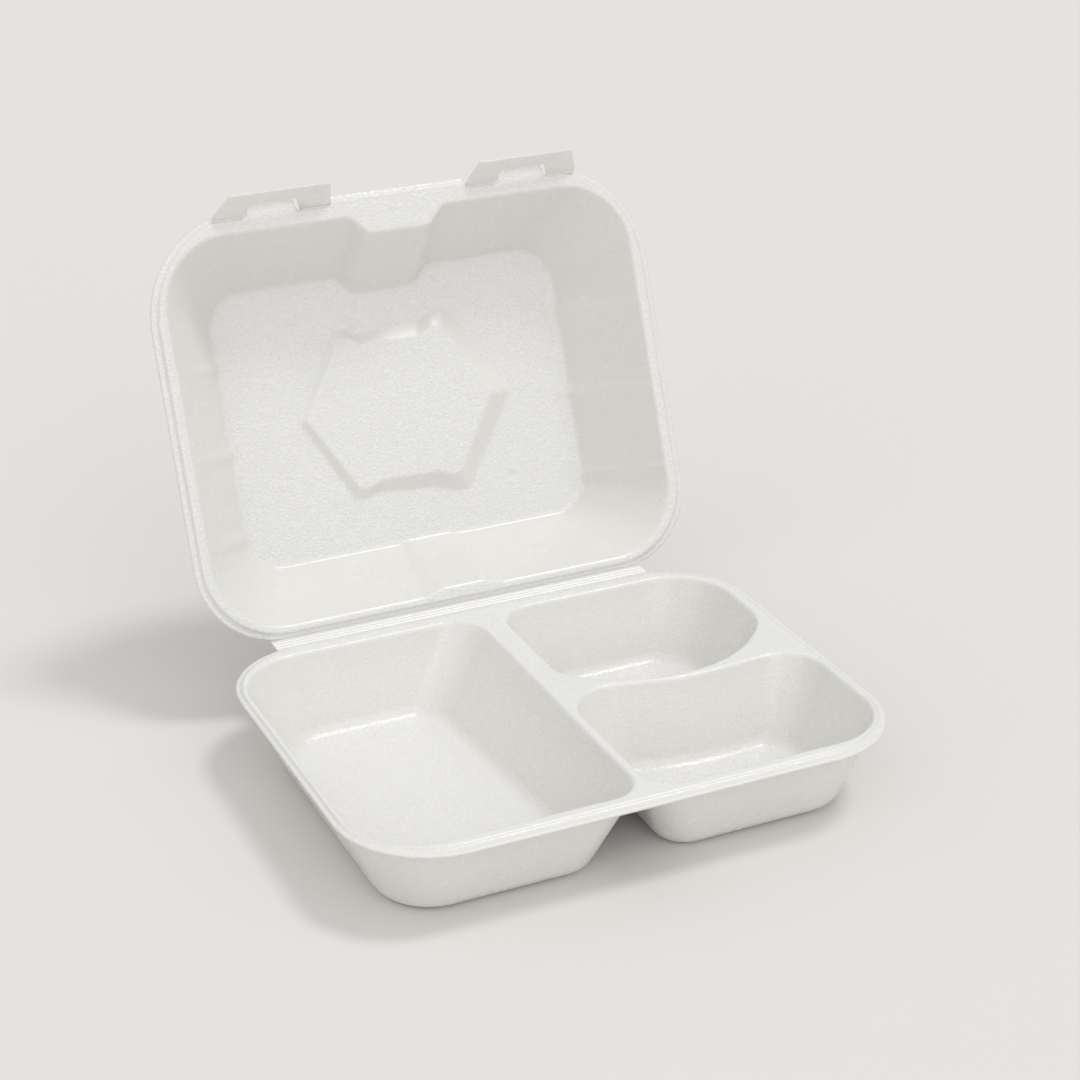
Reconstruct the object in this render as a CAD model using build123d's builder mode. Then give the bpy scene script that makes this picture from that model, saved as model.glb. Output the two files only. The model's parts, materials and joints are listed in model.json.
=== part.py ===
"""Hinged food container of moulded foam sheet, lid standing open.

The tray has three drafted compartments under one stepped rim. A thin scored strip
joins it to a domed lid with a hexagonal stiffening boss, and two lock tabs fold
down from the lid's free edge. Millimetres, +Z up, the container stands on z = 0
with the tray's rim centred on the origin and the hinge along X.
"""
import os
from math import atan2, cos, radians, sin, sqrt, tan

from build123d import *

# Tray rim
rim_width = 230.0
rim_depth = 178.6
rim_height = 37.0
rim_front_radius = 38.5
rim_hinge_radius = 35.5
rim_thickness = 1.3
step_drop = 1.2
step_wall = 1.3
ring_left = 2.0
ring_right = 3.2
ring_front = 4.2
ring_hinge = 3.4

# Tray compartments, measured at the rim
tray_wall = 2.0
floor_round = 7.0
mouth_round = 1.6
pod_tuck = 0.5
land_left = 4.0
land_end = 9.0
land_small = 5.0
land_rear = 7.2
divider_middle = 0.2
divider_width = 3.6
rear_shift = 6.6
ridge_place = -3.2
ridge_dip = 4.4
ridge_rise = 9.2
ridge_shift = 2.0
bow_left_share = 0.22
bow_right_share = 0.284
bow_roundness = 0.96
floor_bow_roundness = 0.93
bow_corner_turn = 45.0
end_inset = 11.0
side_inset = 15.0
divider_inset_front = 15.0
divider_inset_back = 24.0
ridge_inset = 11.0
small_inset = 14.0
rear_inset = 12.0

# Hinge strip and how far the lid stands open
strip_length = 8.7
strip_inset = 28.5
strip_thickness = 0.8
strip_sink = 0.2
strip_lap = 2.5
strip_scores = 3
strip_score_first = 4.0
strip_score_pitch = 2.4
strip_score_radius = 0.35
lid_edge_drop = 0.5
lid_open_angle = 111.3
closed_overhang = 3.2
closed_gap = 0.3
running_gap = 0.3

# Lid
lid_side_margin = 1.0
lid_reach = 1.4
lid_front_radius = 46.0
lid_hinge_radius = 34.5
lid_rise = 34.4
lid_wall = 1.6
lid_ring_side = 3.2
lid_ring_front = 1.8
lid_ring_hinge = 2.4
lid_land_side = 7.5
lid_land_hinge = 5.2
lid_land_front = 10.0
lid_mouth_radius = 30.0
lid_side_inset = 26.0
lid_hinge_inset = 21.5
lid_front_inset = 23.5
panel_radius = 16.0
panel_round = 3.0
lid_mouth_round = 1.8
hexagon_width = 100.0
hexagon_depth = 78.0
hexagon_side = 54.0
hexagon_shift = 1.8
hexagon_turn = -2.5
hexagon_height = 3.6
hexagon_flank = 6.2
hexagon_corner = 3.0
hexagon_round = 1.5
notch_front = 3.4
notch_hinge = 2.3
notch_length = 42.0
notch_slope = 6.0
notch_share = 0.35
finger_depth = 8.0
finger_half_width = 21.5
finger_slope = 7.5
hinge_step_depth = 2.4
hinge_step_half_width = 19.0
hinge_step_slope = 9.5
hinge_step_shift = 2.5
hinge_step_fade = 1.4
step_round = 5.0
step_clearance = 2.0
step_reach = 3.0
mid_wall_share = 0.125
rib_spacing = 37.0
rib_shift = 7.5
rib_half_width = 6.5
rib_height = 1.3
rib_fade = 1.2
rib_sink = 0.3
rib_back = 4.0
rib_overrun = 0.1
panel_overlap = 2.0

# Lock tabs
fold_from_edge = 4.0
tab_left_place = 59.0
tab_right_place = 54.8
tab_width = 51.6
tab_length = 12.0
tab_shoulder = 1.5
left_tab_slants = (6.6, 0.8)
right_tab_slants = (5.0, 3.5)
tab_thickness = 1.0
tab_angle = 45.0
tongue_width = 24.0
tongue_length = 6.0
tongue_taper = 2.0
fold_lap = 2.0

ring_top = rim_height - step_drop
floor_top = tray_wall
compartment_depth = rim_height - floor_top
back_edge = rim_depth / 2
rim_plane = Plane.XY.offset(rim_height)
large_left = -rim_width / 2 + land_left
large_right = divider_middle - divider_width / 2
small_left = divider_middle + divider_width / 2
small_right = rim_width / 2 - land_small
rear_left = small_left + rear_shift
rear_right = rim_width / 2 - land_rear
mouth_front = -rim_depth / 2 + land_end
mouth_back = rim_depth / 2 - land_end
strip_half_length = rim_width / 2 - strip_inset

# The lid's hinge edge as it stands open, and where it lies once the lid is shut
edge_open_y = back_edge + strip_length
edge_open_z = ring_top - lid_edge_drop
edge_shut_y = back_edge - closed_overhang
edge_shut_z = rim_height + closed_gap + step_drop

# The fold axis that carries the edge from one to the other
half_turn = tan(radians(lid_open_angle / 2))
hinge_y = (edge_open_y + edge_shut_y) / 2 + (edge_open_z - edge_shut_z) / (2 * half_turn)
hinge_z = (edge_open_z + edge_shut_z) / 2 - (edge_open_y - edge_shut_y) / (2 * half_turn)
edge_swing = sqrt((edge_open_y - hinge_y) ** 2 + (edge_open_z - hinge_z) ** 2)
strip_start = back_edge - strip_lap
strip_end = hinge_y + sqrt((edge_swing - running_gap) ** 2 - (ring_top - strip_sink - hinge_z) ** 2)


def outline(plane, corners, radii):
    """A closed outline with a round of its own at each corner."""
    with BuildSketch(plane) as sketch:
        with BuildLine():
            FilletPolyline(*corners, radius=radii, close=True)
        make_face()
    return sketch.sketch


def rectangle_corners(left, right, front, back):
    return [(left, front), (right, front), (right, back), (left, back)]


def moved_sides(corners, distances):
    """The polygon's corners once each side has moved outward by its own distance."""
    moved = []
    count = len(corners)
    for index in range(count):
        before = Vector(*corners[index - 1])
        here = Vector(*corners[index])
        after = Vector(*corners[(index + 1) % count])
        first = (here - before).normalized()
        second = (after - here).normalized()
        turn = first.X * second.Y - first.Y * second.X
        first_distance = distances[index - 1]
        second_distance = distances[index]
        shift = (first * second_distance - second * first_distance) / turn
        moved.append((here.X + shift.X, here.Y + shift.Y))
    return moved


def grown(corners, distance):
    return moved_sides(corners, [distance] * len(corners))


def drafted(plane, depth, mouth, mouth_radii, floor, floor_radii, wall, foot_round):
    """A drafted hollow below the plane, or the pod around it once a wall is given."""
    mouth_outline = outline(plane, grown(mouth, wall), [radius + wall for radius in mouth_radii])
    floor_plane = plane.offset(-depth - wall)
    floor_outline = outline(floor_plane, grown(floor, wall), [radius + wall for radius in floor_radii])
    with BuildPart() as body:
        loft([mouth_outline, floor_outline])
        foot = body.faces().sort_by(Axis(plane.origin, plane.z_dir))[0]
        fillet(foot.edges(), foot_round + wall)
    return body.part


def stepped_rim(plane, outer_corners, outer_radii, ring_widths):
    """A raised land and the lower ring around it, pressed from one sheet."""
    left, right, front, back = ring_widths
    (x0, y0), _, (x1, y1), _ = outer_corners
    land_corners = rectangle_corners(x0 + left, x1 - right, y0 + front, y1 - back)
    land_radii = [radius - min(ring_widths) for radius in outer_radii]
    under_radii = [radius - step_wall for radius in land_radii]
    ring = outline(plane.offset(-step_drop), outer_corners, outer_radii)
    land = outline(plane, land_corners, land_radii)
    under = outline(plane.offset(-rim_thickness), grown(land_corners, -step_wall), under_radii)
    with BuildPart() as rim:
        extrude(ring, amount=-rim_thickness)
        extrude(land, amount=-step_drop - rim_thickness)
        extrude(under, amount=-step_drop, mode=Mode.SUBTRACT)
    return rim.part


def hollow_and_pod(plane, depth, mouth, mouth_radii, floor, floor_radii, wall, foot_round):
    """The hollow of a drafted compartment, and the pod that the sheet makes around it."""
    shape = (mouth, mouth_radii, floor, floor_radii)
    hollow = drafted(plane, depth, *shape, 0.0, foot_round)
    pod = drafted(plane.offset(-pod_tuck), depth - pod_tuck, *shape, wall, foot_round)
    return hollow, pod


# Large compartment on the left
large_mouth = rectangle_corners(large_left, large_right, mouth_front, mouth_back)
large_floor = [
    (large_left + side_inset, mouth_front + end_inset),
    (large_right - divider_inset_front, mouth_front + end_inset),
    (large_right - divider_inset_back, mouth_back - end_inset),
    (large_left + side_inset, mouth_back - end_inset),
]
large_radii = [28.0, 13.0, 15.0, 28.0]
large_floor_radii = [21.0, 14.0, 14.0, 21.0]
large_hollow, large_pod = hollow_and_pod(
    rim_plane, compartment_depth, large_mouth, large_radii,
    large_floor, large_floor_radii, tray_wall, floor_round,
)

# Small compartment at the front right, its rear wall bowed in along the ridge
small_mouth = [
    (small_left, mouth_front),
    (small_right, mouth_front),
    (small_right, ridge_place),
    ((small_left + small_right) / 2 - ridge_shift, ridge_place - ridge_dip),
    (small_left, ridge_place + ridge_rise),
]
small_radii = [14.0, 28.0, 17.0, 100.0, 19.0]
small_floor_radii = [12.0, 20.0, 14.0, 110.0, 12.0]
small_insets = [-end_inset, -side_inset, -ridge_inset, -ridge_inset, -small_inset]
small_hollow, small_pod = hollow_and_pod(
    rim_plane, compartment_depth, small_mouth, small_radii,
    moved_sides(small_mouth, small_insets), small_floor_radii, tray_wall, floor_round,
)

# Small compartment at the rear right, its front wall a wide bow
rear_width = rear_right - rear_left
bow_left = rear_width * bow_left_share
bow_right = rear_width * bow_right_share
rear_mouth = [
    (rear_left + bow_left, ridge_place),
    (rear_right - bow_right, ridge_place),
    (rear_right, ridge_place + bow_right),
    (rear_right, mouth_back),
    (rear_left, mouth_back),
    (rear_left, ridge_place + bow_left),
]
rear_insets = [-ridge_inset, -rear_inset, -side_inset, -end_inset, -rear_inset, -rear_inset]
rear_floor = moved_sides(rear_mouth, rear_insets)


def bow_radius(corners, roundness):
    """The radius that turns the front side and both its neighbours into one bow."""
    return roundness * (corners[1][0] - corners[0][0]) / 2 / tan(radians(bow_corner_turn / 2))


rear_bow = bow_radius(rear_mouth, bow_roundness)
rear_floor_bow = bow_radius(rear_floor, floor_bow_roundness)
rear_radii = [rear_bow, rear_bow, 30.0, 27.0, 15.0, 15.0]
rear_floor_radii = [rear_floor_bow, rear_floor_bow, 18.0, 20.0, 13.0, 11.0]
rear_hollow, rear_pod = hollow_and_pod(
    rim_plane, compartment_depth, rear_mouth, rear_radii,
    rear_floor, rear_floor_radii, tray_wall, floor_round,
)

# Tray: rim, pods and the scored strip that joins it to the lid
rim_corners = rectangle_corners(-rim_width / 2, rim_width / 2, -back_edge, back_edge)
rim_radii = [rim_front_radius, rim_front_radius, rim_hinge_radius, rim_hinge_radius]
tray_rim = stepped_rim(
    rim_plane, rim_corners, rim_radii, (ring_left, ring_right, ring_front, ring_hinge)
)
with BuildPart() as tray:
    add(tray_rim)
    add([large_pod, small_pod, rear_pod])
    add([large_hollow, small_hollow, rear_hollow], mode=Mode.SUBTRACT)
    land = tray.faces().filter_by(Axis.Z).sort_by(Axis.Z)[-1]
    fillet(land.inner_wires().edges(), mouth_round)

    with BuildSketch(Plane.XY.offset(ring_top - strip_sink)):
        with Locations((0, (strip_start + strip_end) / 2)):
            Rectangle(2 * strip_half_length, strip_end - strip_start)
    extrude(amount=-strip_thickness)
    with BuildSketch(Plane.YZ.offset(-strip_half_length)):
        with Locations(*[(strip_start + strip_score_first + k * strip_score_pitch, ring_top - strip_sink)
                         for k in range(strip_scores)]):
            Circle(strip_score_radius)
    extrude(amount=2 * strip_half_length, mode=Mode.SUBTRACT)

# Lid frame: x along the hinge, y up the lid, z towards the food side
lid_slope = radians(180 - lid_open_angle)
lid_up = Vector(0, cos(lid_slope), sin(lid_slope))
lid_facing = Vector(0, -sin(lid_slope), cos(lid_slope))
lid_origin = Vector(0, edge_open_y, edge_open_z) + lid_facing * step_drop
lid_plane = Plane(origin=lid_origin, x_dir=(1, 0, 0), z_dir=lid_facing)

lid_width = rim_width - 2 * lid_side_margin
lid_depth = rim_depth + lid_reach
mouth_half_width = lid_width / 2 - lid_land_side
mouth_far = lid_depth - lid_land_front
lid_mouth = rectangle_corners(-mouth_half_width, mouth_half_width, lid_land_hinge, mouth_far)
panel = moved_sides(
    lid_mouth, [-lid_hinge_inset, -lid_side_inset, -lid_front_inset, -lid_side_inset]
)
panel_middle = (panel[0][1] + panel[2][1]) / 2


def wall_step(edge, depth, middle, half_width, slope, inset, wall):
    """The block left out of the dome where a wall steps in; edge is its mouth height."""
    side = 1 if inset > 0 else -1
    reach = step_reach * depth
    spread = step_reach * slope
    corners = [
        (middle - half_width - spread, edge + side * reach),
        (middle + half_width + spread, edge + side * reach),
        (middle + half_width - slope, edge - side * depth),
        (middle - half_width + slope, edge - side * depth),
    ]
    rounds = [0, 0, step_round, step_round]
    if side > 0:
        corners.reverse()
        rounds.reverse()
    corners = grown(corners, -wall)
    above = step_clearance
    below = lid_rise + lid_wall + step_clearance
    top = [(x, y + inset * above / lid_rise) for x, y in corners]
    bottom = [(x, y - inset * below / lid_rise) for x, y in corners]
    with BuildPart() as block:
        loft([
            outline(lid_plane.offset(above), top, rounds),
            outline(lid_plane.offset(-below), bottom, rounds),
        ])
    return block.part


# The hexagon before its two notches, centred on its own middle
hexagon = [
    (-hexagon_side / 2, -hexagon_depth / 2), (hexagon_side / 2, -hexagon_depth / 2),
    (hexagon_width / 2, 0),
    (hexagon_side / 2, hexagon_depth / 2), (-hexagon_side / 2, hexagon_depth / 2),
    (-hexagon_width / 2, 0),
]


def hexagon_outline(height, inset):
    """The hexagon's outline at a height over the lid plane, notched along two sides."""
    plain = grown(hexagon, -inset)
    side, half = plain[3]
    half_width = plain[2][0]
    notch = notch_length / 2 - inset * notch_share
    inner = notch - notch_slope
    corners = [
        (-side, -half), (-notch, -half), (-inner, notch_hinge - half), (inner, notch_hinge - half),
        (notch, -half), (side, -half), (half_width, 0), (side, half), (notch, half),
        (inner, half - notch_front), (-inner, half - notch_front), (-notch, half), (-side, half),
        (-half_width, 0),
    ]
    middle = lid_plane.offset(height).shift_origin(
        lid_plane.from_local_coords(Vector(-hexagon_shift, panel_middle, height))
    )
    return outline(middle.rotated((0, 0, hexagon_turn)), corners, [hexagon_corner] * len(corners))


def hexagon_boss(wall):
    """The raised hexagon on the panel, its crown rounded over."""
    skin = wall * tan(atan2(hexagon_height, hexagon_flank) / 2)
    sunk = hexagon_flank * panel_overlap / hexagon_height
    panel_height = -lid_rise - wall
    with BuildPart() as boss:
        loft([
            hexagon_outline(panel_height - panel_overlap, skin - sunk),
            hexagon_outline(panel_height + hexagon_height, skin + hexagon_flank),
        ])
        crown = boss.faces().sort_by(Axis(lid_plane.origin, lid_plane.z_dir))[-1]
        fillet(crown.edges(), hexagon_round)
    return boss.part


def side_rib(side, index, wall):
    """A soft rib pressed into a side wall, fading out towards the mouth."""
    slope_length = sqrt(lid_side_inset ** 2 + lid_rise ** 2)
    inward = Vector(-side * lid_rise, 0, lid_side_inset) / slope_length
    height = panel_middle - rib_shift + index * rib_spacing
    outward = inward * -wall * lid_rise / slope_length
    foot = Vector(side * (mouth_half_width - lid_side_inset), height, -lid_rise) + outward
    mouth = Vector(side * mouth_half_width, height, 0) + outward - inward * rib_fade
    start = foot + (foot - mouth) * rib_overrun
    along = lid_plane.from_local_coords(mouth) - lid_plane.from_local_coords(foot)
    rib_plane = Plane(lid_plane.from_local_coords(start), x_dir=lid_up * side, z_dir=along)
    with BuildPart() as rib:
        with BuildSketch(rib_plane):
            with BuildLine():
                Spline(
                    (-rib_half_width, -rib_sink), (0, rib_height), (rib_half_width, -rib_sink),
                    tangents=[(1, 0), (1, 0)],
                )
                Polyline(
                    (rib_half_width, -rib_sink), (rib_half_width, -rib_back),
                    (-rib_half_width, -rib_back), (-rib_half_width, -rib_sink),
                )
            make_face()
        extrude(amount=along.length * (1 + 2 * rib_overrun))
    return rib.part


def step_edges(form, side):
    """The two edges where a stepped-in stretch leaves the hinge or the far wall."""
    found = []
    for edge in form.edges():
        place = lid_plane.to_local_coords(edge.center())
        at_mid_wall = abs(place.Z + lid_rise / 2) < lid_rise * mid_wall_share
        near_middle = abs(place.X) < hexagon_width / 2
        on_this_side = (place.Y - panel_middle) * side > 0
        if at_mid_wall and near_middle and on_this_side:
            found.append((place.X, edge))
    found.sort(key=lambda pair: pair[0])
    return [found[0][1], found[-1][1]]


def lid_form(tuck, wall):
    """The inside of the lid, or its outside once a wall is given."""
    mouth_radii = [lid_mouth_radius + wall] * 4
    panel_radii = [panel_radius + wall] * 4
    finger = (mouth_far, finger_depth, 0, finger_half_width, finger_slope, lid_front_inset)
    hinge_step = (
        lid_land_hinge, hinge_step_depth, hinge_step_shift, hinge_step_half_width,
        hinge_step_slope, hinge_step_fade - lid_hinge_inset,
    )
    with BuildPart() as form:
        loft([
            outline(lid_plane.offset(-tuck), grown(lid_mouth, wall), mouth_radii),
            outline(lid_plane.offset(-lid_rise - wall), grown(panel, wall), panel_radii),
        ])
        add(wall_step(*finger, wall), mode=Mode.SUBTRACT)
        add(wall_step(*hinge_step, wall), mode=Mode.SUBTRACT)
        fillet(step_edges(form, 1) + step_edges(form, -1), step_round)
        foot = form.faces().sort_by(Axis(lid_plane.origin, lid_plane.z_dir))[0]
        fillet(foot.edges(), panel_round + wall)
        add(hexagon_boss(wall), mode=Mode.SUBTRACT)
        for side in (-1, 1):
            for index in (-1, 0, 1):
                add(side_rib(side, index, wall), mode=Mode.SUBTRACT)
    return form.part


# Lid: stepped flange, dome, and the tongues cut free along the tab folds
lid_corners = rectangle_corners(-lid_width / 2, lid_width / 2, 0, lid_depth)
lid_radii = [lid_hinge_radius, lid_hinge_radius, lid_front_radius, lid_front_radius]
lid_rim = stepped_rim(
    lid_plane, lid_corners, lid_radii, (lid_ring_side, lid_ring_side, lid_ring_hinge, lid_ring_front)
)
lid_outside = lid_form(pod_tuck, lid_wall)
lid_inside = lid_form(0, 0)

fold_y = lid_depth - fold_from_edge
tab_places = (tab_left_place - lid_width / 2, lid_width / 2 - tab_right_place)


def tongue_corners(margin, tip):
    """The tongue's outline from its fold line to the given tip, grown by a margin."""
    half = tongue_width / 2 + margin
    narrow = half - tongue_taper
    return [(-half, 0), (half, 0), (narrow, tip), (-narrow, tip)]


with BuildPart() as lid:
    add(lid_outside)
    add(lid_rim)
    add(lid_inside, mode=Mode.SUBTRACT)
    lid_land = lid.faces().sort_by(Axis(lid_plane.origin, lid_plane.z_dir))[-1]
    fillet(lid_land.inner_wires().edges(), lid_mouth_round)
    with BuildSketch(lid_plane):
        with Locations(*[(place, fold_y) for place in tab_places]):
            Rectangle(tab_width + 2 * running_gap, 2 * fold_from_edge, align=(Align.CENTER, Align.MIN))
    extrude(amount=-step_drop - rim_thickness, mode=Mode.SUBTRACT)
    with BuildSketch(lid_plane):
        for place in tab_places:
            tongue = tongue_corners(0, tongue_length + fold_lap)
            with BuildLine():
                Polyline(*[(place + x, fold_y - fold_lap + y) for x, y in tongue], close=True)
            make_face()
    extrude(amount=-rim_thickness)


def lock_tab(place, left_slant, right_slant):
    """A tab folded part-way down, its window clear of the tongue."""
    fold_line = lid_plane.from_local_coords(Vector(place, fold_y + running_gap, 0))
    bend = radians(tab_angle)
    facing = lid_facing * cos(bend) - lid_up * sin(bend)
    tab_plane = Plane(origin=fold_line, x_dir=(1, 0, 0), z_dir=facing)
    half = tab_width / 2
    window_tip = tongue_length + running_gap
    with BuildPart() as tab:
        with BuildSketch(tab_plane):
            with BuildLine():
                Polyline(
                    (-half, 0), (half, 0), (half, tab_shoulder), (half - right_slant, tab_length),
                    (-half + left_slant, tab_length), (-half, tab_shoulder), close=True,
                )
            make_face()
            with BuildLine():
                Polyline(*tongue_corners(running_gap, window_tip), close=True)
            make_face(mode=Mode.SUBTRACT)
        extrude(amount=-tab_thickness)
    return tab


lock_tab_left = lock_tab(tab_places[0], left_tab_slants[0], left_tab_slants[1])
lock_tab_right = lock_tab(tab_places[1], right_tab_slants[0], right_tab_slants[1])

tray.part.label = "tray"
lid.part.label = "lid"
lock_tab_left.part.label = "lock_tab_left"
lock_tab_right.part.label = "lock_tab_right"

os.makedirs("parts", exist_ok=True)
export_step(tray.part, "parts/tray.step")
export_step(lid.part, "parts/lid.step")
export_step(lock_tab_left.part, "parts/lock_tab_left.step")
export_step(lock_tab_right.part, "parts/lock_tab_right.step")
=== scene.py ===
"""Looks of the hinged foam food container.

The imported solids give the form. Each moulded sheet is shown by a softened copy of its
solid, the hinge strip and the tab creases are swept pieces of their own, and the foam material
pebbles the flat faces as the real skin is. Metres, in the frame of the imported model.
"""

import json
import math

import bmesh
import bpy
import numpy as np
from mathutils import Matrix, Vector


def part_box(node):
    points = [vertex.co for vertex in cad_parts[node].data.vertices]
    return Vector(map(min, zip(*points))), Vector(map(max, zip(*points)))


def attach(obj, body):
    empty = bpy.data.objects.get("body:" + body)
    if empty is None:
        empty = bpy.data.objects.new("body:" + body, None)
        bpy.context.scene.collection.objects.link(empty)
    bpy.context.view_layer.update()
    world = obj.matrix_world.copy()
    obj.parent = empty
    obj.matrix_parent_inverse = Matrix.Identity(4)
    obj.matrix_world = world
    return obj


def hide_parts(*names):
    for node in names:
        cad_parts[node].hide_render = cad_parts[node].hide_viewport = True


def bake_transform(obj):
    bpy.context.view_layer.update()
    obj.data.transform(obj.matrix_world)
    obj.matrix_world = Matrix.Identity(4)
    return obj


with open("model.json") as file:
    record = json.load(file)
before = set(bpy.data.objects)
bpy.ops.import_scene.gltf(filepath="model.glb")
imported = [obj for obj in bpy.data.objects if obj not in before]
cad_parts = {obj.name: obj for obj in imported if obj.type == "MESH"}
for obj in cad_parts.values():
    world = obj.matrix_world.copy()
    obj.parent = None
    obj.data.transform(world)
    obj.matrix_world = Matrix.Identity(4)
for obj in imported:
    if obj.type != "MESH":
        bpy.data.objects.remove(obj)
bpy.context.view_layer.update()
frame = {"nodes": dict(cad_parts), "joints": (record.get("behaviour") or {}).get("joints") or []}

# Camera, fitted to the photograph's outlines: metres, degrees, and millimetres for lens and sensor
camera_place = (-0.3728, -0.7912, 0.5117)
camera_turn = (65.113, 0.397, -24.980)
camera_lens = 82.87
camera_sensor = 36.0

# Soft studio light: azimuth, elevation and softness in degrees, and strength; azimuth 0 is the front
world_colour = (1.0, 0.995, 0.985)
world_strength = 0.37
lamps = {
    "key": (68.0, 67.0, 14.0, 0.72),
    "front": (0.0, 30.0, 50.0, 0.66),
    "top": (0.0, 88.0, 60.0, 0.3),
    "right": (60.0, 35.0, 50.0, 0.26),
    "back_right": (150.0, 35.0, 50.0, 0.2),
    "left": (-60.0, 35.0, 50.0, 0.38),
    "back_left": (-130.0, 35.0, 50.0, 0.28),
}

# Floor
floor_colour = (0.80, 0.782, 0.762)
floor_roughness = 0.9
floor_specular = 0.1
floor_size = 12.0

# Foam skin: the pale colour of flat faces and pebble crests, the darker warmer colour painted on walls as
# their shade, and how it shines and scatters light
foam_lit_pale = (0.84, 0.838, 0.822)
foam_painted_shade = (0.80, 0.79, 0.76)
foam_specular = 0.75
foam_roughness = (0.2, 0.32)
scatter_weight = 0.12
scatter_tint = (1.0, 1.0, 0.9)
scatter_reach = 0.002

# Foam skin: how nearly a face points along the pebbled direction where pebbles start and where
# all show, and the painted light that a flat face and a pebble's crest add to the paler colour
flat_limits = (0.84, 0.97)
flat_painted_light = 0.6
crest_painted_highlight = 0.4

# Foam skin: the noises of pebbles, fine grain and slow swell, and their parts in the skin's height
pebble_scale = 920.0
pebble_distortion = 0.6
pebble_limits = (0.36, 0.64)
grain_scale = 2600.0
grain_part = 0.16
swell_scale = 120.0
swell_part = 0.9
fine_detail = 1.0
swell_detail = 2.0

# Softened sheets
shell_voxel = 0.00055
shell_smoothing = 5
smooth_factor = 0.5
shell_triangles = 190000
cut_margin = 0.00005
weld_distance = 0.000001
edge_angle = math.radians(50)

# The lid's hinge edge: behind the tray's rim, and above the floor
lid_edge_reach = 0.0087
lid_edge_height = 0.0353

# Ribs of the lid's side walls, and where they are: out from the middle, deep behind the land, and
# up from the hinge edge
rib_smoothing = 60
rib_zone_aside = 0.078
rib_zone_depth = (0.005, 0.0335)
rib_zone_up = (0.03, 0.15)

# A small dimple in the lid's panel: across, and up from the hinge edge
dimple_place = (0.0468, 0.0477)
dimple_radius = 0.0016
dimple_depth = 0.0006

# Hinge strip, measured from the tray's back edge; its underside has the same scores, less deep
strip_half_length = 0.0865
strip_lap = 0.0008
strip_reach = 0.0092
strip_top = 0.0356
strip_fall = 0.00035
strip_thickness = 0.0008
strip_scores = (0.0015, 0.0039, 0.0063)
score_depth = 0.00042
score_width = 0.00036
score_ratio = 3
strip_steps = 110
strip_lengths = 60

# Tab creases, measured from the fold, and the tabs
crease_half_width = 0.0257
crease_window = 0.0124
crease_gap = 0.0003
crease_lap = 0.0005
crease_sink = 0.00006
crease_thick = 0.001
crease_steps = 8
tab_angle = math.radians(45)
tab_bevel = 0.00018
bevel_segments = 3

joints = {joint["name"]: joint for joint in frame["joints"]}
lid_slope = math.pi - math.radians(joints["lid_hinge"]["range_deg"][1])
lid_up = Vector((0, math.cos(lid_slope), math.sin(lid_slope)))
lid_facing = Vector((0, -math.sin(lid_slope), math.cos(lid_slope)))
rim_back = -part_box("tray")[0].y
upward = Vector((0, 0, 1))

# Each skin's pebbled direction, its pebbles' depth, and the share of them left on drawn walls
skins = {
    "tray_foam": (upward, 0.00006, 0.8),
    "lid_foam": (lid_facing, 0.00014, 0.06),
    "strip_foam": (upward, 0.00002, 0.0),
    "tab_foam": (lid_facing, 0.00003, 0.1),
}


def set_input(tree, socket, value):
    """Gives an input its value, or links it where the value is another node's socket."""
    if isinstance(value, bpy.types.NodeSocket):
        tree.links.new(value, socket)
    else:
        socket.default_value = value


def new_node(tree, kind, **settings):
    """A shader node with its settings and its input values."""
    node = tree.nodes.new("ShaderNode" + kind)
    for name, value in settings.items():
        if hasattr(node, name):
            setattr(node, name, value)
        else:
            set_input(tree, node.inputs[name.replace("_", " ")], value)
    return node


def calculate(tree, operation, first, second):
    """The result of a sum on two values or sockets."""
    node = tree.nodes.new("ShaderNodeMath")
    node.operation = operation
    for socket, value in zip(node.inputs, (first, second)):
        set_input(tree, socket, value)
    return node.outputs["Value"]


def eased(tree, source, limits):
    """The source's values between the limits, eased onto 0 to 1."""
    node = new_node(tree, "MapRange", interpolation_type="SMOOTHSTEP", Value=source)
    node.inputs["From Min"].default_value, node.inputs["From Max"].default_value = limits
    return node.outputs["Result"]


def noise(tree, place, scale, detail, distortion=0.0):
    """Noise over the piece, from 0 to 1."""
    node = new_node(tree, "TexNoise", Vector=place, Scale=scale, Detail=detail, Distortion=distortion)
    return node.outputs["Fac"]


def flatness_of(tree, normal, facing):
    """How far a face lies flat to a direction, on either side of the sheet."""
    along = tree.nodes.new("ShaderNodeVectorMath")
    along.operation = "DOT_PRODUCT"
    along.inputs[1].default_value = facing
    tree.links.new(normal, along.inputs[0])
    return eased(tree, calculate(tree, "ABSOLUTE", along.outputs["Value"], 0.0), flat_limits)


def foam_colour_with_painted_light(tree, pebbles, flatness):
    """The foam's colour with painted light: palest on the pebbles' crests of flat faces as painted
    highlights, darker and warmer on walls as painted shade.
    """
    tint = tree.nodes.new("ShaderNodeMix")
    tint.data_type = "RGBA"
    factor, first, second = tint.inputs[0], tint.inputs[6], tint.inputs[7]
    first.default_value = (*foam_painted_shade, 1)
    second.default_value = (*foam_lit_pale, 1)
    # Crests paler as painted highlights, flat faces paler than walls as painted light.
    crest = calculate(tree, "MULTIPLY", pebbles, crest_painted_highlight)
    set_input(tree, factor, calculate(tree, "ADD", crest, calculate(tree, "MULTIPLY", flatness, flat_painted_light)))
    return tint.outputs[2]


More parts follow.
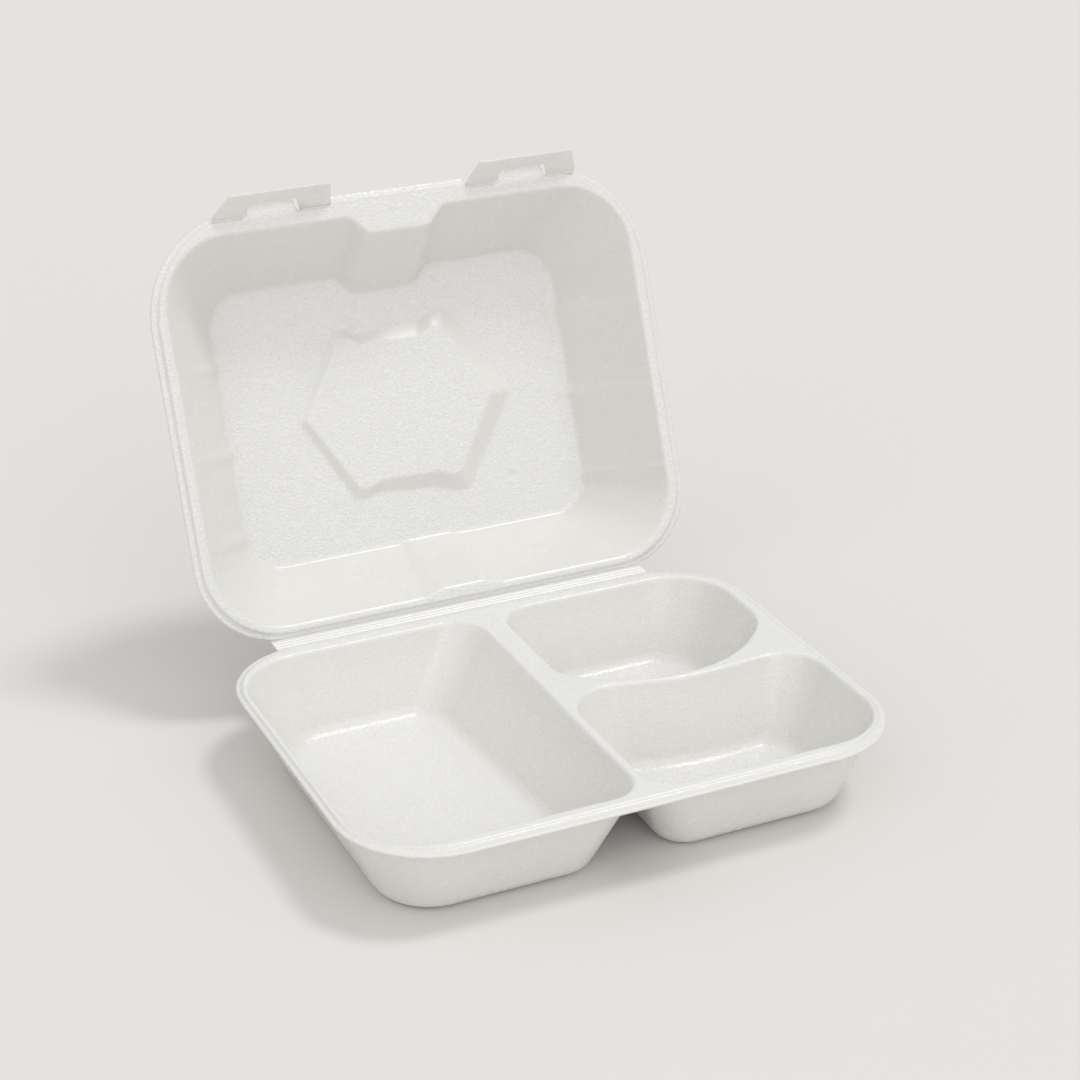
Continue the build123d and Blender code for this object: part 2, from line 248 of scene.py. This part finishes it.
def foam_material(name, facing, pebble_depth, wall_share):
    """Foam skin: pebbled where the sheet lies flat to facing, finer on its drawn walls."""
    material = bpy.data.materials.new(name)
    material.use_nodes = True
    tree = material.node_tree
    shader = tree.nodes["Principled BSDF"]
    shader.inputs["Specular IOR Level"].default_value = foam_specular
    shader.inputs["Subsurface Weight"].default_value = scatter_weight
    shader.inputs["Subsurface Radius"].default_value = scatter_tint
    shader.inputs["Subsurface Scale"].default_value = scatter_reach

    place = tree.nodes.new("ShaderNodeTexCoord")
    here = place.outputs["Object"]
    flatness = flatness_of(tree, place.outputs["Normal"], facing)
    share = calculate(tree, "MAXIMUM", flatness, wall_share)

    worms = eased(tree, noise(tree, here, pebble_scale, fine_detail, pebble_distortion), pebble_limits)
    grain = noise(tree, here, grain_scale, fine_detail)
    swell = noise(tree, here, swell_scale, swell_detail)
    pebbles = calculate(tree, "MULTIPLY", worms, share)
    height = calculate(tree, "ADD", pebbles, calculate(tree, "MULTIPLY", grain, grain_part))
    height = calculate(tree, "ADD", height, calculate(tree, "MULTIPLY", swell, swell_part))
    bump = new_node(tree, "Bump", Distance=pebble_depth, Strength=1.0, Height=height)
    tree.links.new(bump.outputs["Normal"], shader.inputs["Normal"])

    # Base colour carries painted light: paler flat faces and painted highlights on crests, darker walls as
    # painted shade.
    tree.links.new(foam_colour_with_painted_light(tree, pebbles, flatness), shader.inputs["Base Color"])
    gloss = new_node(tree, "MapRange", To_Min=foam_roughness[0], To_Max=foam_roughness[1], Value=swell)
    tree.links.new(gloss.outputs["Result"], shader.inputs["Roughness"])
    return material


def add_piece(name, mesh, material, body, node):
    """Links a finished mesh as a piece that rides on a body, if one is given, and stands for a node."""
    mesh.materials.clear()
    mesh.materials.append(material)
    piece = bpy.data.objects.new(name, mesh)
    bpy.context.scene.collection.objects.link(piece)
    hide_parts(node)
    if body:
        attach(piece, body)
    return piece


def baked(mesh, modifiers):
    """The mesh once the modifiers have run over it; each is its type and its settings."""
    carrier = bpy.data.objects.new("carrier", mesh)
    bpy.context.scene.collection.objects.link(carrier)
    for kind, settings in modifiers:
        modifier = carrier.modifiers.new(kind.lower(), kind)
        for setting, value in settings.items():
            setattr(modifier, setting, value)
    depsgraph = bpy.context.evaluated_depsgraph_get()
    result = bpy.data.meshes.new_from_object(carrier.evaluated_get(depsgraph))
    bpy.data.objects.remove(carrier)
    return result


def welded(node, cut_behind=None):
    """A closed copy of a solid's mesh, without what lies behind a plane across y."""
    shape = bmesh.new()
    shape.from_mesh(frame["nodes"][node].data)
    bmesh.ops.remove_doubles(shape, verts=shape.verts, dist=weld_distance)
    if cut_behind is not None:
        everything = shape.verts[:] + shape.edges[:] + shape.faces[:]
        cut = bmesh.ops.bisect_plane(
            shape, geom=everything, plane_co=(0, cut_behind, 0), plane_no=(0, 1, 0), clear_outer=True
        )
        rims = [part for part in cut["geom_cut"] if isinstance(part, bmesh.types.BMEdge)]
        bmesh.ops.holes_fill(shape, edges=rims)
    mesh = bpy.data.meshes.new(node)
    shape.to_mesh(mesh)
    shape.free()
    return mesh


def softened(mesh, finish=None):
    """The sheet as the mould leaves it, with every edge eased; the remesh makes faces of four sides."""
    remesh = {"mode": "VOXEL", "voxel_size": shell_voxel, "use_smooth_shade": True}
    smooth = {"factor": smooth_factor, "iterations": shell_smoothing}
    soft = baked(mesh, [("REMESH", remesh), ("SMOOTH", smooth)])
    if finish:
        soft = finish(soft)
    share = shell_triangles / (2 * len(soft.polygons))
    soft = baked(soft, [("DECIMATE", {"ratio": min(1.0, share)})])
    soft.shade_smooth()
    return soft


def points_of(mesh):
    """The mesh's vertices, one row each."""
    points = np.empty(len(mesh.vertices) * 3)
    mesh.vertices.foreach_get("co", points)
    return points.reshape(-1, 3)


def lid_finish(mesh):
    """Eases the ribs of the lid's side walls and presses the small dimple into its panel."""
    points = points_of(mesh)
    offset = points - np.array((0, rim_back + lid_edge_reach, lid_edge_height))
    up = offset @ np.array(lid_up)
    depth = -offset @ np.array(lid_facing)
    away = ((offset[:, 0] - dimple_place[0]) ** 2 + (up - dimple_place[1]) ** 2) / dimple_radius ** 2
    points -= np.outer(np.exp(-away) * dimple_depth, np.array(lid_facing))
    mesh.vertices.foreach_set("co", points.ravel())

    aside = np.abs(points[:, 0])
    on_wall = (aside > rib_zone_aside) & (depth > rib_zone_depth[0]) & (depth < rib_zone_depth[1])
    on_wall &= (up > rib_zone_up[0]) & (up < rib_zone_up[1])
    carrier = bpy.data.objects.new("ribs", mesh)
    group = carrier.vertex_groups.new(name="ribs")
    group.add([int(index) for index in np.flatnonzero(on_wall)], 1.0, "REPLACE")
    bpy.data.objects.remove(carrier)
    smooth = {"factor": smooth_factor, "iterations": rib_smoothing, "vertex_group": "ribs"}
    return baked(mesh, [("SMOOTH", smooth)])


def swept(profile, stations):
    """A closed profile in y and z carried along the stations in x, with its ends closed."""
    shape = bmesh.new()
    rings = []
    for x in stations:
        rings.append([shape.verts.new((x, y, z)) for y, z in profile])
    count = len(profile)
    for first, second in zip(rings, rings[1:]):
        for k in range(count):
            following = (k + 1) % count
            shape.faces.new((first[k], first[following], second[following], second[k]))
    shape.faces.new(rings[0][::-1])
    shape.faces.new(rings[-1])
    bmesh.ops.recalc_face_normals(shape, faces=shape.faces)
    return shape


def rounded(mesh):
    """Shades a mesh smooth, but for its sharp edges."""
    mesh.shade_smooth()
    mesh.set_sharp_from_angle(angle=edge_angle)
    return mesh


def finished(shape, name):
    """The mesh of a swept shape, shaded."""
    mesh = bpy.data.meshes.new(name)
    shape.to_mesh(mesh)
    shape.free()
    return rounded(mesh)


def add_strip(material):
    """The scored strip between tray and lid."""
    start = rim_back - strip_lap
    end = rim_back + strip_reach
    top = []
    bottom = []
    for k in range(strip_steps + 1):
        y = start + (end - start) * k / strip_steps
        z = strip_top - strip_fall * max(0.0, (y - rim_back) / strip_reach)
        scores = sum(math.exp(-((y - rim_back - place) / score_width) ** 2) for place in strip_scores)
        top.append((y, z - score_depth * scores))
        bottom.append((y, z - strip_thickness + score_depth * scores / score_ratio))
    spacing = 2 * strip_half_length / strip_lengths
    stations = [-strip_half_length + spacing * k for k in range(strip_lengths + 1)]
    shape = swept(top + bottom[::-1], stations)
    strip = add_piece("hinge_strip", finished(shape, "hinge_strip"), material, None, "tray")
    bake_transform(strip)


def crease_profile(pivot, lid_point, tab_point, tab_facing):
    """The section of a tab's bend: just under the inner faces, and round the fold outside."""
    inner = [
        lid_point - lid_facing * crease_sink,
        pivot - lid_facing * crease_sink / 2,
        tab_point - tab_facing * crease_sink,
    ]
    outer = [tab_point - tab_facing * crease_thick]
    for k in range(crease_steps, -1, -1):
        turn = tab_angle * k / crease_steps
        away = lid_facing * math.cos(turn) - lid_up * math.sin(turn)
        outer.append(pivot - away * crease_thick)
    outer.append(lid_point - lid_facing * crease_thick)
    return [(point.y, point.z) for point in inner + outer]


def add_crease(side, material):
    """The bend between the lid and a tab, on both sides of the tongue's window."""
    pivot = Vector(joints[f"{side}_tab_fold"]["pos_m"])
    tab_up = lid_up * math.cos(tab_angle) + lid_facing * math.sin(tab_angle)
    tab_facing = lid_facing * math.cos(tab_angle) - lid_up * math.sin(tab_angle)
    lid_point = pivot - lid_up * (crease_gap + crease_lap)
    tab_point = pivot + tab_up * crease_lap
    profile = crease_profile(pivot, lid_point, tab_point, tab_facing)
    shape = swept(profile, (pivot.x - crease_half_width, pivot.x - crease_window))
    other = bpy.data.meshes.new("half")
    half = swept(profile, (pivot.x + crease_window, pivot.x + crease_half_width))
    half.to_mesh(other)
    half.free()
    shape.from_mesh(other)
    crease = add_piece(f"{side}_tab_crease", finished(shape, f"{side}_tab_crease"), material, None, "lid")
    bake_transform(crease)


def add_tab(side, material):
    """A tab with its cut edges eased."""
    node = f"lock_tab_{side}"
    bevel = {"width": tab_bevel, "segments": bevel_segments, "limit_method": "ANGLE"}
    mesh = rounded(baked(welded(node), [("BEVEL", bevel)]))
    add_piece(f"{side}_tab", mesh, material, f"tab_{side}", node)


def add_floor():
    """A plain pale floor."""
    bpy.ops.mesh.primitive_plane_add(size=floor_size)
    floor = bpy.context.object
    floor.name = "floor"
    material = bpy.data.materials.new("floor_paper")
    material.use_nodes = True
    shader = material.node_tree.nodes["Principled BSDF"]
    shader.inputs["Base Color"].default_value = (*floor_colour, 1)
    shader.inputs["Roughness"].default_value = floor_roughness
    shader.inputs["Specular IOR Level"].default_value = floor_specular
    floor.data.materials.append(material)


def add_light():
    """Even light from the world, and soft suns around it."""
    world = bpy.data.worlds.new("studio")
    bpy.context.scene.world = world
    world.use_nodes = True
    background = world.node_tree.nodes["Background"]
    background.inputs["Color"].default_value = (*world_colour, 1)
    background.inputs["Strength"].default_value = world_strength
    for name, (azimuth, elevation, softness, strength) in lamps.items():
        lamp = bpy.data.lights.new(name, "SUN")
        lamp.energy = strength
        lamp.angle = math.radians(softness)
        light = bpy.data.objects.new(name, lamp)
        bpy.context.scene.collection.objects.link(light)
        light.rotation_euler = (math.radians(90 - elevation), 0, math.radians(azimuth))


def add_camera():
    """The camera at the photograph's viewing angle."""
    lens = bpy.data.cameras.new("camera")
    lens.lens = camera_lens
    lens.sensor_width = camera_sensor
    camera = bpy.data.objects.new("camera", lens)
    bpy.context.scene.collection.objects.link(camera)
    camera.location = camera_place
    camera.rotation_euler = [math.radians(a) for a in camera_turn]
    bpy.context.scene.camera = camera


foams = {name: foam_material(name, *skin) for name, skin in skins.items()}

tray_mesh = softened(welded("tray", rim_back - cut_margin))
add_piece("tray_sheet", tray_mesh, foams["tray_foam"], "tray", "tray")
add_piece("lid_sheet", softened(welded("lid"), lid_finish), foams["lid_foam"], "lid", "lid")
add_strip(foams["strip_foam"])
for side in ("left", "right"):
    add_tab(side, foams["tab_foam"])
    add_crease(side, foams["lid_foam"])

add_floor()
add_light()
add_camera()
bpy.context.scene.view_settings.view_transform = "Standard"
